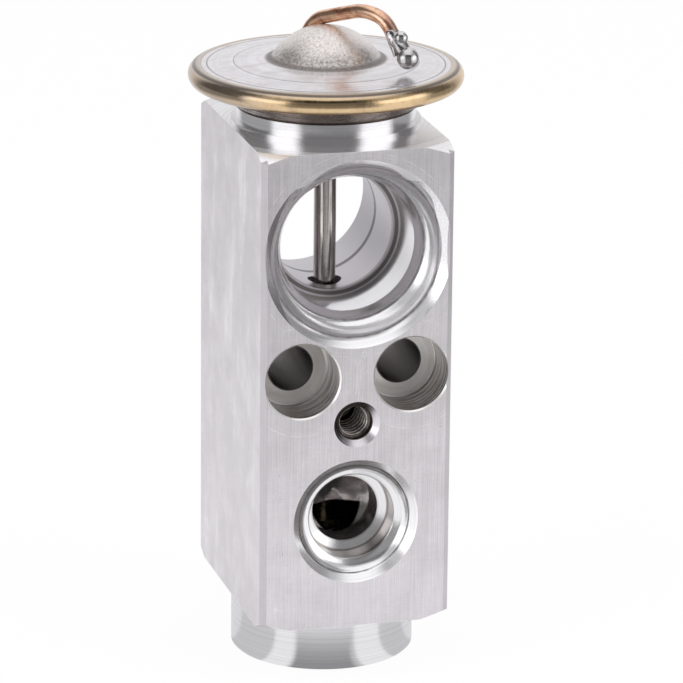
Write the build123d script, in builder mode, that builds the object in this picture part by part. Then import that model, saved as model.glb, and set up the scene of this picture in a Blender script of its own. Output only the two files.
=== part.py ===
from build123d import *
import math
import os

# Thermostatic expansion valve, block type. Millimetres, +Z up along the valve's axis.
# The origin is the centre of the flat end of the bottom boss. -Y is the pipe side,
# +Y is the evaporator side.

# block
block_width = 28.0
block_depth = 36.5
block_height = 70.3
upright_chamfer = 0.8  # broken upright edges
turned_corner_radius = 20.6  # where the lathe starts to cut the end faces' corners
turned_corner_angle = 30.0
boss_height = 8.6
boss_radius = 13.3
boss_edge = 0.4
neck_height = 2.5
neck_radius = 12.95
neck_root_radius = 13.64
neck_root_height = 0.6

# port and hole heights, above the block's lower end face unless named a drop
liquid_inlet_rise = 15.75
liquid_outlet_rise = 24.0
stud_rise = 30.3
bolt_rise = 37.2
suction_drop = 15.0  # suction centre line below the block's upper end face

# suction line passage, front to back: (radius, depth) down the flared mouth
suction_mouth_radius = 13.73
suction_chamfer = 1.23
suction_flare_radius = 11.5
suction_flare_depth = 2.85
suction_lip_radius = 10.75
suction_lip_depth = 4.05
suction_bore_radius = 9.85
suction_taper_depth = 6.05
suction_bore_depth = 13.6
suction_passage_radius = 8.85
suction_rear_radius = 10.5
suction_rear_depth = 13.0
suction_rear_chamfer = 1.2

# liquid ports: both mouths are alike, the drillings behind them aren't
liquid_mouth_radius = 9.21
liquid_chamfer = 1.18
liquid_spigot_radius = 6.27
liquid_flare_depth = 2.55
liquid_spigot_depth = 5.7
liquid_shoulder_drop = 0.45
inlet_drill_radius = 4.85
inlet_drill_standoff = 7.75  # full diameter stops this far short of the valve's axis
outlet_drill_radius = 3.6
outlet_drill_overrun = 2.0  # past the valve's axis
drill_point_angle = 118.0

# fixing holes
bolt_spacing = 16.0
bolt_hole_radius = 3.25
bolt_counterbore_radius = 5.45
bolt_counterbore_depth = 7.0
hole_edge = 0.23
stud_drill_radius = 2.5
stud_countersink_radius = 3.38
stud_drill_depth = 11.0

# bore on the valve's axis, from the boss up to the neck
adjuster_thread_radius = 9.0
thread_clearance = 0.05
adjuster_thread_depth = 7.4
adjuster_mouth_chamfer = 0.4
chamber_radius = 8.0
chamber_top_rise = 14.8  # flat ceiling that holds the seat, above the lower end face
orifice_radius = 1.2
rod_radius = 1.6
rod_clearance = 0.05
seal_pocket_radius = 2.45
seal_pocket_depth = 5.0
equaliser_radius = 3.2
head_recess_depth = 5.4
head_thread_radius = 10.0
head_seal_width = 1.6
head_seal_depth = 1.5

# power head
rim_rise = 6.85  # diaphragm plane above the block's upper end face
rim_radius = 17.8  # edge of cup, diaphragm and cover, inside the weld bead
bead_swell = 0.4  # how far the bead stands out beyond a plain half round
sheet = 1.4
diaphragm_thickness = 0.2
plate_margin = 0.8  # flat border of the cover
dome_radius = 7.9
dome_height = 4.65
dome_fillet = 2.2
plate_rise = 0.85  # from the rim up to the dome's foot
cup_margin = 0.6  # flat border of the cup
cup_foot_radius = 12.6
cup_collar_length = 4.6
cup_bore_radius = 8.4
corrugation_depth = 0.35
corrugation_pitch = 2.4
corrugation_count = 2
corrugation_margin = 1.8  # flat between the outer corrugation and the edge
tube_radius = 1.0
tube_bore_radius = 0.5
tube_hole_clearance = 0.02

# charging tube in its own upright plane, which starts behind the dome's top:
# distance along the plane, height above the rim plane
tube_foot = (-1.67, 4.82)
tube_plane_angle = -53.8
tube_start = (-0.8, 3.5)
tube_corners = [(1.75, 7.35), (10.6, 9.9), (14.6, 8.95)]
tube_end = (15.95, 6.25)
tube_bends = (5.0, 8.0, 4.0)
solder_ball_radius = 1.6
solder_ball_place = (18.4, 4.08)
solder_lump_radius = 1.0
solder_lump_place = (17.1, 6.8)
pinch_length = 2.2
pinch_width = 2.5
pinch_thickness = 1.0

# valve train
pad_radius = 10.0
pad_thickness = 1.1
pad_hub_radius = 2.8
pad_hub_length = 5.0
pad_socket_depth = 3.0
pad_gap = 0.05  # under the diaphragm
pin_radius = 0.75
pin_step_drop = 0.6  # rod's thick part ends this far below the outlet's centre line
ball_radius = 1.5
seat_gap = 0.02
carrier_flange_radius = 3.9
carrier_flange_thickness = 1.0
carrier_neck_radius = 1.3
carrier_neck_height = 2.8
carrier_cup_depth = 0.5
carrier_spigot_radius = 2.35
carrier_spigot_length = 2.2

# rod seal
seal_ring_drop = 3.4  # seal's centre below the floor of the suction passage
seal_squeeze_gap = 0.02
retainer_thickness = 0.5
retainer_drop = 2.3
retainer_bore_clearance = 0.15

# valve spring and adjusting screw
spring_wire = 0.9
spring_mean_radius = 3.1
spring_turns = 4
screw_recess = 1.0
screw_length = 9.8
screw_thread_length = 4.2
screw_nose_clearance = 0.08
screw_stub_radius = 2.35
screw_stub_length = 1.2
screw_socket_across = 6.0
screw_socket_depth = 4.0
screw_groove_width = 1.7
screw_groove_depth = 1.35
screw_groove_land = 0.6
ring_groove_clearance = 0.05

# levels on the axis
block_bottom = boss_height
block_top = block_bottom + block_height
neck_top = block_top + neck_height
inlet_z = block_bottom + liquid_inlet_rise
outlet_z = block_bottom + liquid_outlet_rise
stud_z = block_bottom + stud_rise
bolt_z = block_bottom + bolt_rise
suction_z = block_top - suction_drop
chamber_top = block_bottom + chamber_top_rise
passage_floor = suction_z - suction_passage_radius
recess_floor = neck_top - head_recess_depth
rim_z = block_top + rim_rise
rim_half = sheet + diaphragm_thickness / 2
plate_ring_radius = rim_radius - plate_margin
cup_cone_radius = rim_radius - cup_margin
front_y = -block_depth / 2
rear_y = block_depth / 2
ball_z = chamber_top - seat_gap - math.sqrt(ball_radius**2 - orifice_radius**2)
screw_top = screw_recess + screw_length
flange_top = ball_z - carrier_neck_height
flange_bottom = flange_top - carrier_flange_thickness
drill_slope = 1 / math.tan(math.radians(drill_point_angle / 2))


def turned_port(x, height, start_y, inward, profile):
    """Cuts a port turned from a face at start_y; profile is (radius, depth), ending on the axis."""
    points = [(start_y + inward * depth, height + radius) for radius, depth in profile]
    with BuildSketch(Plane.YZ.offset(x)) as section:
        with BuildLine():
            Polyline((start_y, height), *points, close=True)
        make_face()
    revolve(section.sketch, axis=Axis((x, 0, height), (0, 1, 0)), mode=Mode.SUBTRACT)


def turned_ring(profile):
    """Turns a closed (radius, height) outline about the valve's axis."""
    with BuildSketch(Plane.XZ) as section:
        with BuildLine():
            Polyline(*profile, close=True)
        make_face()
    revolve(section.sketch, axis=Axis.Z)


def o_ring(ring_radius, section_radius, height):
    """Adds an O-ring of round section lying level on the axis."""
    with BuildSketch(Plane.XZ) as section:
        with Locations((ring_radius, height)):
            Circle(section_radius)
    revolve(section.sketch, axis=Axis.Z)


# Block: one bar of aluminium, turned at both ends, drilled from the front and the back.
with BuildPart() as valve_body:
    with BuildSketch(Plane.XY.offset(block_bottom)):
        Rectangle(block_width, block_depth)
    extrude(amount=block_height)
    chamfer(valve_body.edges().filter_by(Axis.Z), upright_chamfer)
    corner_reach = math.hypot(block_width, block_depth) / 2 + 1
    corner_drop = (corner_reach - turned_corner_radius) * math.tan(math.radians(turned_corner_angle))
    with BuildSketch(Plane.XZ):
        with BuildLine():
            Polyline(
                (0, block_bottom),
                (turned_corner_radius, block_bottom),
                (corner_reach, block_bottom + corner_drop),
                (corner_reach, block_top - corner_drop),
                (turned_corner_radius, block_top),
                (0, block_top),
                close=True,
            )
        make_face()
    revolve(axis=Axis.Z, mode=Mode.INTERSECT)
    turned_ring([(0, 0), (boss_radius - boss_edge, 0), (boss_radius, boss_edge),
                 (boss_radius, block_bottom), (0, block_bottom)])
    turned_ring([(0, block_top), (neck_root_radius, block_top),
                 (neck_root_radius, block_top + neck_root_height),
                 (neck_radius, block_top + neck_root_height),
                 (neck_radius, neck_top), (0, neck_top)])

    # suction passage: flared mouth in front, plain counterbore behind
    suction_front = [
        (suction_mouth_radius, 0),
        (suction_mouth_radius - suction_chamfer, suction_chamfer),
        (suction_flare_radius, suction_flare_depth),
        (suction_lip_radius, suction_lip_depth),
        (suction_bore_radius, suction_taper_depth),
        (suction_bore_radius, suction_bore_depth),
        (suction_passage_radius, suction_bore_depth),
        (suction_passage_radius, block_depth - suction_rear_depth),
        (0, block_depth - suction_rear_depth),
    ]
    suction_rear = [
        (suction_rear_radius + suction_rear_chamfer, 0),
        (suction_rear_radius, suction_rear_chamfer),
        (suction_rear_radius, suction_rear_depth),
        (0, suction_rear_depth),
    ]
    turned_port(0, suction_z, front_y, 1, suction_front)
    turned_port(0, suction_z, rear_y, -1, suction_rear)

    # liquid ports, each ending in a drill point
    liquid_mouth = [
        (liquid_mouth_radius, 0),
        (liquid_mouth_radius - liquid_chamfer, liquid_chamfer),
        (liquid_spigot_radius, liquid_flare_depth),
        (liquid_spigot_radius, liquid_spigot_depth),
    ]
    shoulder_depth = liquid_spigot_depth + liquid_shoulder_drop
    inlet_drill_depth = block_depth / 2 - inlet_drill_standoff
    outlet_drill_depth = block_depth / 2 + outlet_drill_overrun
    liquid_inlet = liquid_mouth + [
        (inlet_drill_radius, shoulder_depth),
        (inlet_drill_radius, inlet_drill_depth),
        (0, inlet_drill_depth + inlet_drill_radius * drill_slope),
    ]
    liquid_outlet = liquid_mouth + [
        (outlet_drill_radius, shoulder_depth),
        (outlet_drill_radius, outlet_drill_depth),
        (0, outlet_drill_depth + outlet_drill_radius * drill_slope),
    ]
    turned_port(0, inlet_z, front_y, 1, liquid_inlet)
    turned_port(0, outlet_z, rear_y, -1, liquid_outlet)

    # two bolt holes right through, and the blind stud hole between the ports
    bolt_hole = [
        (bolt_counterbore_radius + hole_edge, 0),
        (bolt_counterbore_radius, hole_edge),
        (bolt_counterbore_radius, bolt_counterbore_depth),
        (bolt_hole_radius, bolt_counterbore_depth),
        (bolt_hole_radius, block_depth - hole_edge),
        (bolt_hole_radius + hole_edge, block_depth),
        (0, block_depth),
    ]
    for side in (-1, 1):
        turned_port(side * bolt_spacing / 2, bolt_z, front_y, 1, bolt_hole)
    stud_hole = [
        (stud_countersink_radius, 0),
        (stud_drill_radius, stud_countersink_radius - stud_drill_radius),
        (stud_drill_radius, stud_drill_depth),
        (0, stud_drill_depth + stud_drill_radius * drill_slope),
    ]
    turned_port(0, stud_z, front_y, 1, stud_hole)

    # stepped bore on the axis, from the adjuster's thread up to the head's recess
    thread_hole_radius = adjuster_thread_radius + thread_clearance
    head_seat_radius = head_thread_radius + head_seal_width
    axis_bore = [
        (0, 0),
        (thread_hole_radius + adjuster_mouth_chamfer, 0),
        (thread_hole_radius, adjuster_mouth_chamfer),
        (thread_hole_radius, adjuster_thread_depth),
        (chamber_radius, adjuster_thread_depth + thread_hole_radius - chamber_radius),
        (chamber_radius, chamber_top),
        (orifice_radius, chamber_top),
        (orifice_radius, outlet_z),
        (rod_radius + rod_clearance, outlet_z),
        (rod_radius + rod_clearance, passage_floor - seal_pocket_depth),
        (seal_pocket_radius, passage_floor - seal_pocket_depth),
        (seal_pocket_radius, suction_z),
        (equaliser_radius, suction_z),
        (equaliser_radius, recess_floor),
        (head_thread_radius + thread_clearance, recess_floor),
        (head_thread_radius + thread_clearance, neck_top - head_seal_depth),
        (head_seat_radius, neck_top - head_seal_depth),
        (head_seat_radius, neck_top),
        (0, neck_top),
    ]
    with BuildSketch(Plane.XZ):
        with BuildLine():
            Polyline(*axis_bore, close=True)
        make_face()
    revolve(axis=Axis.Z, mode=Mode.SUBTRACT)

# Head cup: pressed sheet with a threaded collar screwed into the neck.
with BuildPart() as head_cup:
    cup_slope = math.atan2(rim_z - rim_half - neck_top, cup_cone_radius - cup_foot_radius)
    inner_shift = sheet * math.tan(cup_slope / 2)
    floor_top = neck_top + sheet
    cup_top = rim_z - diaphragm_thickness / 2
    turned_ring([
        (cup_bore_radius, neck_top - cup_collar_length),
        (head_thread_radius, neck_top - cup_collar_length),
        (head_thread_radius, neck_top),
        (cup_foot_radius, neck_top),
        (cup_cone_radius, rim_z - rim_half),
        (rim_radius, rim_z - rim_half),
        (rim_radius, cup_top),
        (cup_cone_radius - inner_shift, cup_top),
        (cup_foot_radius - inner_shift, floor_top),
        (cup_bore_radius, floor_top),
    ])

# Diaphragm: thin flat disc with round corrugations, held by its edge between cup and cover.
with BuildPart() as diaphragm:
    with BuildSketch(Plane.XZ):
        with BuildLine():
            corrugation_start = rim_radius - corrugation_margin - corrugation_count * corrugation_pitch
            wave = [(0, 0), (corrugation_start, 0)]
            for turn in range(corrugation_count):
                crest = corrugation_start + corrugation_pitch * (turn + 0.5)
                wave += [(crest, -corrugation_depth), (crest + corrugation_pitch / 2, 0)]
            wave += [(rim_radius, 0)]
            lower = [(r, rim_z - diaphragm_thickness / 2 + rise) for r, rise in wave]
            upper = [(r, rim_z + diaphragm_thickness / 2 + rise) for r, rise in wave]
            Polyline(*lower, *reversed(upper), close=True)
        make_face()
    revolve(axis=Axis.Z)

# Head cover: pressed plate that rises to a dome, drilled for the charging tube.
tube_plane = Plane(
    origin=(*tube_foot, rim_z),
    x_dir=(math.cos(math.radians(tube_plane_angle)), math.sin(math.radians(tube_plane_angle)), 0),
    z_dir=(math.sin(math.radians(tube_plane_angle)), -math.cos(math.radians(tube_plane_angle)), 0),
)


def tube_path():
    """Centre line of the charging tube, bent by hand in one upright plane."""
    with BuildLine(tube_plane) as path:
        FilletPolyline(tube_start, *tube_corners, tube_end, radius=tube_bends)
    return path.line


with BuildPart() as head_cover:
    plate_z = rim_z + rim_half
    foot_z = plate_z + plate_rise
    dome_sphere = (dome_radius**2 + dome_height**2) / (2 * dome_height)
    dome_centre_z = foot_z + dome_height - dome_sphere
    under_sphere = dome_sphere - sheet
    under_foot_z = foot_z - sheet
    under_foot_radius = math.sqrt(under_sphere**2 - (under_foot_z - dome_centre_z) ** 2)
    half_turn = math.radians(30)
    with BuildSketch(Plane.XZ):
        with BuildLine():
            Polyline((0, dome_centre_z + under_sphere), (0, foot_z + dome_height))
            ThreePointArc(
                (0, foot_z + dome_height),
                (dome_sphere * math.sin(half_turn), dome_centre_z + dome_sphere * math.cos(half_turn)),
                (dome_radius, foot_z),
            )
            Polyline((dome_radius, foot_z), (plate_ring_radius, plate_z), (rim_radius, plate_z),
                     (rim_radius, plate_z - sheet), (plate_ring_radius, plate_z - sheet),
                     (under_foot_radius, under_foot_z))
            ThreePointArc(
                (under_foot_radius, under_foot_z),
                (under_sphere * math.sin(half_turn), dome_centre_z + under_sphere * math.cos(half_turn)),
                (0, dome_centre_z + under_sphere),
            )
        make_face()
    revolve(axis=Axis.Z)
    foot_edges = head_cover.edges().filter_by(GeomType.CIRCLE)
    fillet(foot_edges.filter_by(lambda edge: abs(edge.radius - dome_radius) < 0.01
                                and abs(edge.center().Z - foot_z) < 0.01), dome_fillet)
    with BuildSketch(Plane(tube_path() @ 0, z_dir=tube_path() % 0)):
        Circle(tube_radius + tube_hole_clearance)
    sweep(path=tube_path(), mode=Mode.SUBTRACT)

# Weld bead: round bead that closes the edges of cup, diaphragm and cover.
with BuildPart() as rim_bead:
    with BuildSketch(Plane.XZ):
        with BuildLine():
            Line((rim_radius, rim_z - rim_half), (rim_radius, rim_z + rim_half))
            ThreePointArc((rim_radius, rim_z + rim_half),
                          (rim_radius + rim_half + bead_swell, rim_z),
                          (rim_radius, rim_z - rim_half))
        make_face()
    revolve(axis=Axis.Z)

# Charging tube: soft copper, bent over the dome towards the rim.
with BuildPart() as charging_tube:
    with BuildSketch(Plane(tube_path() @ 0, z_dir=tube_path() % 0)):
        Circle(tube_radius)
        Circle(tube_bore_radius, mode=Mode.SUBTRACT)
    sweep(path=tube_path())

# Pinched tip with its solder: flattened end, small lump and the ball that closes it.
with BuildPart() as solder_seal:
    end_point = tube_path() @ 1
    end_way = tube_path() % 1
    with BuildSketch(Plane(end_point, x_dir=tube_plane.z_dir, z_dir=end_way)):
        Circle(tube_radius)
    with BuildSketch(Plane(end_point + end_way * pinch_length, x_dir=tube_plane.z_dir, z_dir=end_way)):
        Ellipse(pinch_width / 2, pinch_thickness / 2)
    loft()
    with Locations(tube_plane.from_local_coords(Vector(*solder_ball_place, 0))):
        Sphere(solder_ball_radius)
    with Locations(tube_plane.from_local_coords(Vector(*solder_lump_place, 0))):
        Sphere(solder_lump_radius)
    with BuildSketch(Plane(tube_path() @ 0, z_dir=tube_path() % 0)):
        Circle(tube_radius)
    sweep(path=tube_path(), mode=Mode.SUBTRACT)

# Head seal: rubber ring round the collar, under the cup's foot.
with BuildPart() as head_o_ring:
    o_ring(head_thread_radius + head_seal_width / 2, head_seal_depth / 2, neck_top - head_seal_depth / 2)

# Stopper pad: turned disc with a hub that takes the top of the rod.
with BuildPart() as stopper_pad:
    pad_top = rim_z - diaphragm_thickness / 2 - pad_gap
    turned_ring([
        (0, pad_top - pad_hub_length + pad_socket_depth),
        (rod_radius, pad_top - pad_hub_length + pad_socket_depth),
        (rod_radius, pad_top - pad_hub_length),
        (pad_hub_radius, pad_top - pad_hub_length),
        (pad_hub_radius, pad_top - 2 * pad_thickness),
        (pad_radius, pad_top - pad_thickness),
        (pad_radius, pad_top),
        (0, pad_top),
    ])

# Push rod: ground rod across the suction passage, with a thin pin through the orifice.
with BuildPart() as push_rod:
    rod_top = pad_top - pad_hub_length + pad_socket_depth
    pin_step = outlet_z - pin_step_drop
    turned_ring([(0, ball_z + ball_radius), (pin_radius, ball_z + ball_radius), (pin_radius, pin_step),
                 (rod_radius, pin_step), (rod_radius, rod_top), (0, rod_top)])

# Rod seal and the pressed ring that keeps it in its pocket.
with BuildPart() as rod_seal:
    seal_section = (seal_pocket_radius - rod_radius) / 2
    o_ring(rod_radius + seal_section, seal_section - seal_squeeze_gap, passage_floor - seal_ring_drop)
with BuildPart() as seal_retainer:
    retainer_top = passage_floor - retainer_drop
    turned_ring([(rod_radius + retainer_bore_clearance, retainer_top - retainer_thickness),
                 (seal_pocket_radius, retainer_top - retainer_thickness),
                 (seal_pocket_radius, retainer_top),
                 (rod_radius + retainer_bore_clearance, retainer_top)])

# Ball and its carrier: the ball shuts the orifice from below.
with BuildPart() as valve_ball:
    with Locations((0, 0, ball_z)):
        Sphere(ball_radius)
with BuildPart() as ball_carrier:
    turned_ring([
        (0, flange_bottom - carrier_spigot_length),
        (carrier_spigot_radius, flange_bottom - carrier_spigot_length),
        (carrier_spigot_radius, flange_bottom),
        (carrier_flange_radius, flange_bottom),
        (carrier_flange_radius, flange_top),
        (carrier_neck_radius, flange_top),
        (carrier_neck_radius, ball_z - ball_radius + carrier_cup_depth),
        (0, ball_z - ball_radius + carrier_cup_depth),
    ])
    with Locations((0, 0, ball_z)):
        Sphere(ball_radius, mode=Mode.SUBTRACT)

# Valve spring: round wire, between the screw's top and the carrier's flange.
with BuildPart() as valve_spring:
    spring_rise = flange_bottom - screw_top - spring_wire
    with BuildLine(Plane.XY.offset(screw_top + spring_wire / 2)) as coil:
        Helix(pitch=spring_rise / spring_turns, height=spring_rise, radius=spring_mean_radius)
    with BuildSketch(Plane(coil.line @ 0, z_dir=coil.line % 0)):
        Circle(spring_wire / 2)
    sweep(path=coil.line, is_frenet=True)

# Adjusting screw: sets the spring's load through the boss, turned by a hex key.
with BuildPart() as adjusting_screw:
    nose_radius = chamber_radius - screw_nose_clearance
    groove_top = screw_top - screw_groove_land
    groove_bottom = groove_top - screw_groove_width
    groove_floor = nose_radius - screw_groove_depth
    turned_ring([
        (0, screw_recess),
        (adjuster_thread_radius, screw_recess),
        (adjuster_thread_radius, screw_recess + screw_thread_length),
        (nose_radius, screw_recess + screw_thread_length),
        (nose_radius, groove_bottom),
        (groove_floor, groove_bottom),
        (groove_floor, groove_top),
        (nose_radius, groove_top),
        (nose_radius, screw_top),
        (screw_stub_radius, screw_top),
        (screw_stub_radius, screw_top + screw_stub_length),
        (0, screw_top + screw_stub_length),
    ])
    with BuildSketch(Plane.XY.offset(screw_recess)):
        RegularPolygon(screw_socket_across / 2, 6, major_radius=False)
    extrude(amount=screw_socket_depth, mode=Mode.SUBTRACT)
with BuildPart() as adjuster_o_ring:
    ring_section = (chamber_radius - groove_floor) / 2 - ring_groove_clearance
    o_ring((chamber_radius + groove_floor) / 2, ring_section, (groove_top + groove_bottom) / 2)

pieces = {
    "valve_body": valve_body,
    "head_cup": head_cup,
    "diaphragm": diaphragm,
    "head_cover": head_cover,
    "rim_bead": rim_bead,
    "charging_tube": charging_tube,
    "solder_seal": solder_seal,
    "head_o_ring": head_o_ring,
    "stopper_pad": stopper_pad,
    "push_rod": push_rod,
    "rod_seal": rod_seal,
    "seal_retainer": seal_retainer,
    "valve_ball": valve_ball,
    "ball_carrier": ball_carrier,
    "valve_spring": valve_spring,
    "adjusting_screw": adjusting_screw,
    "adjuster_o_ring": adjuster_o_ring,
}
os.makedirs("parts", exist_ok=True)
for name, piece in pieces.items():
    piece.part.label = name
    export_step(piece.part, f"parts/{name}.step")
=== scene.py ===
import math
from types import SimpleNamespace

import bmesh
import bpy
from mathutils import Matrix, Vector, noise


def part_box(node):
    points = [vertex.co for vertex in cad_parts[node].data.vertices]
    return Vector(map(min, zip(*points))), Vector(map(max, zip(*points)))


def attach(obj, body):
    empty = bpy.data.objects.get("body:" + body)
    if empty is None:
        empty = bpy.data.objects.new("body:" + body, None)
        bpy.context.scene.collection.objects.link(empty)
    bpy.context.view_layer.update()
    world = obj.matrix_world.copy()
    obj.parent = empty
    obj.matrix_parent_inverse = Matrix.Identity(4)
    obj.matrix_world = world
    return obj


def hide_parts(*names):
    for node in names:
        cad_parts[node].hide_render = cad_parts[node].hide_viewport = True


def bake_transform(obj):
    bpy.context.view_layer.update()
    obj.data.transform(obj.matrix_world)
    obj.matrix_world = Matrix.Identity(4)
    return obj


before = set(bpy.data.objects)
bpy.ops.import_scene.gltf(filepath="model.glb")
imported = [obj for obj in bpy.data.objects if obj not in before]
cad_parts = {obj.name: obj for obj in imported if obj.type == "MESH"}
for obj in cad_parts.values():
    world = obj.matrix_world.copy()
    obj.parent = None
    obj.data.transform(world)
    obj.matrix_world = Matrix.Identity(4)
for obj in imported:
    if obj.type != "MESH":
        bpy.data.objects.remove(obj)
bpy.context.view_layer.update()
mm = 0.001


class Wire:
    # one output socket that can stand in an expression
    def __init__(self, nodes, socket):
        self.nodes = nodes
        self.socket = socket

    def mathWith(self, operation, other, flipped=False):
        pair = (other, self) if flipped else (self, other)
        return self.nodes.add("ShaderNodeMath", {"operation": operation}, {0: pair[0], 1: pair[1]})

    def __add__(self, other):
        return self.mathWith("ADD", other)

    def __radd__(self, other):
        return self.mathWith("ADD", other, True)

    def __sub__(self, other):
        return self.mathWith("SUBTRACT", other)

    def __rsub__(self, other):
        return self.mathWith("SUBTRACT", other, True)

    def __mul__(self, other):
        return self.mathWith("MULTIPLY", other)

    def __rmul__(self, other):
        return self.mathWith("MULTIPLY", other, True)

    def __truediv__(self, other):
        return self.mathWith("DIVIDE", other)

    def __rtruediv__(self, other):
        return self.mathWith("DIVIDE", other, True)

    def __lt__(self, other):
        return self.mathWith("LESS_THAN", other)

    def __gt__(self, other):
        return self.mathWith("GREATER_THAN", other)

    def __abs__(self):
        return self.mathWith("ABSOLUTE", 0)

    def largest(self, other):
        return self.mathWith("MAXIMUM", other)

    def smallest(self, other):
        return self.mathWith("MINIMUM", other)

    def root(self):
        return self.mathWith("SQRT", 0)

    def ramp(self, low, high, start=0.0, end=1.0):
        # start below low, end above high, an eased slope between
        values = {"Value": self, "From Min": low, "From Max": high, "To Min": start, "To Max": end}
        return self.nodes.add("ShaderNodeMapRange", {"interpolation_type": "SMOOTHSTEP"}, values, "Result")

    def swing(self, start=0.0, end=1.0):
        # noise mostly lies between these two, so start and end are about the limits
        return self.ramp(0.3, 0.7, start, end)

    def around(self, centre, half, soft):
        # 1 within half of centre, 0 further out than half + soft
        return abs(self - centre).ramp(half, half + soft, 1.0, 0.0)


class Nodes:
    # a node tree that is written as calls and expressions
    def __init__(self, tree):
        self.tree = tree

    def add(self, kind, settings=None, values=None, out=0):
        node = self.tree.nodes.new(kind)
        for key, setting in (settings or {}).items():
            setattr(node, key, setting)
        for key, value in (values or {}).items():
            self.feed(node.inputs[key], value)
        return Wire(self, node.outputs[out])

    def feed(self, socket, value):
        if isinstance(value, Wire):
            self.tree.links.new(value.socket, socket)
        elif socket.type == "RGBA" and len(value) == 3:
            socket.default_value = (*value, 1.0)
        else:
            socket.default_value = value

    def split(self, vector):
        first = self.add("ShaderNodeSeparateXYZ", None, {0: vector})
        return [Wire(self, output) for output in first.socket.node.outputs]

    def rays(self, *kinds):
        outputs = self.add("ShaderNodeLightPath").socket.node.outputs
        return [Wire(self, outputs[kind]) for kind in kinds]

    def point(self, x, y, z):
        return self.add("ShaderNodeCombineXYZ", None, {0: x, 1: y, 2: z})

    def noise(self, vector, scale, detail, rough, warp=0.0):
        values = {"Vector": vector, "Scale": scale, "Detail": detail, "Roughness": rough, "Distortion": warp}
        return self.add("ShaderNodeTexNoise", None, values, "Fac")

    def streaks(self, x, y, z, detail, rough, warp=0.0):
        # noise over a stretched point, drawn out where a factor is small
        return self.noise(self.point(x, y, z), 1.0, detail, rough, warp)

    def mix(self, amount, first, second, blend="MIX"):
        settings = {"data_type": "RGBA", "blend_type": blend}
        return self.add("ShaderNodeMix", settings, {0: amount, 6: first, 7: second}, 2)

    def layers(self, base, *coats):
        # each coat is an amount and a colour, laid over what is below it
        for amount, colour in coats:
            base = self.mix(amount, base, colour)
        return base

    def grey(self, level, coolness=None):
        blue = level if coolness is None else level * coolness
        return self.add("ShaderNodeCombineColor", None, {0: level, 1: level, 2: blue})

    def toned(self, colour, tone):
        return self.mix(1.0, colour, self.grey(tone), "MULTIPLY")


class Finish(Nodes):
    # one material, and its shader's sockets by name
    def __init__(self, name, metallic=1.0):
        self.material = bpy.data.materials.new(name)
        self.material.use_nodes = True
        super().__init__(self.material.node_tree)
        self.shader = next(n for n in self.tree.nodes if n.type == "BSDF_PRINCIPLED")
        self.set(Metallic=metallic)

    def set(self, **values):
        for key, value in values.items():
            self.feed(self.shader.inputs[key.replace("_", " ")], value)

    def place(self):
        return self.add("ShaderNodeTexCoord", out="Object")

    def spot(self):
        # the surface point's x, y and z in millimetres
        x, y, z = [axis * 1000 for axis in self.split(self.place())]
        self.here = self.point(x, y, z)
        return x, y, z

    def facing(self):
        return self.split(self.add("ShaderNodeNewGeometry", out="Normal"))

    def patches(self, scale, detail, rough, warp=0.0):
        # noise that is alike in every direction
        return self.noise(self.here, scale, detail, rough, warp)

    def relief(self, height, strength, distance):
        values = {"Height": height, "Strength": strength, "Distance": distance}
        return self.add("ShaderNodeBump", None, values, "Normal")

    def bump(self, height, strength, distance, under=None):
        fine = self.relief(height, strength, distance)
        if under is not None:
            self.feed(fine.socket.node.inputs["Normal"], under)
        self.set(Normal=fine)


def dress(node, finish):
    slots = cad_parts[node].data.materials
    if len(slots):
        slots[0] = finish.material
    else:
        slots.append(finish.material)


def wrapRings(name, rings, finish, smoothSides=False, smoothEnds=False):
    # a closed skin over rings of points, with one face on each end
    mesh = bmesh.new()
    rows = [[mesh.verts.new(point) for point in ring] for ring in rings]
    for first, second in zip(rows, rows[1:]):
        for index in range(len(first)):
            after = (index + 1) % len(first)
            face = mesh.faces.new((first[index], first[after], second[after], second[index]))
            face.smooth = smoothSides
    for end in (rows[0], list(reversed(rows[-1]))):
        mesh.faces.new(end).smooth = smoothEnds
    bmesh.ops.recalc_face_normals(mesh, faces=mesh.faces)
    data = bpy.data.meshes.new(name)
    mesh.to_mesh(data)
    mesh.free()
    data.materials.append(finish.material)
    piece = bpy.data.objects.new(name, data)
    bpy.context.scene.collection.objects.link(piece)
    return piece


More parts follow.
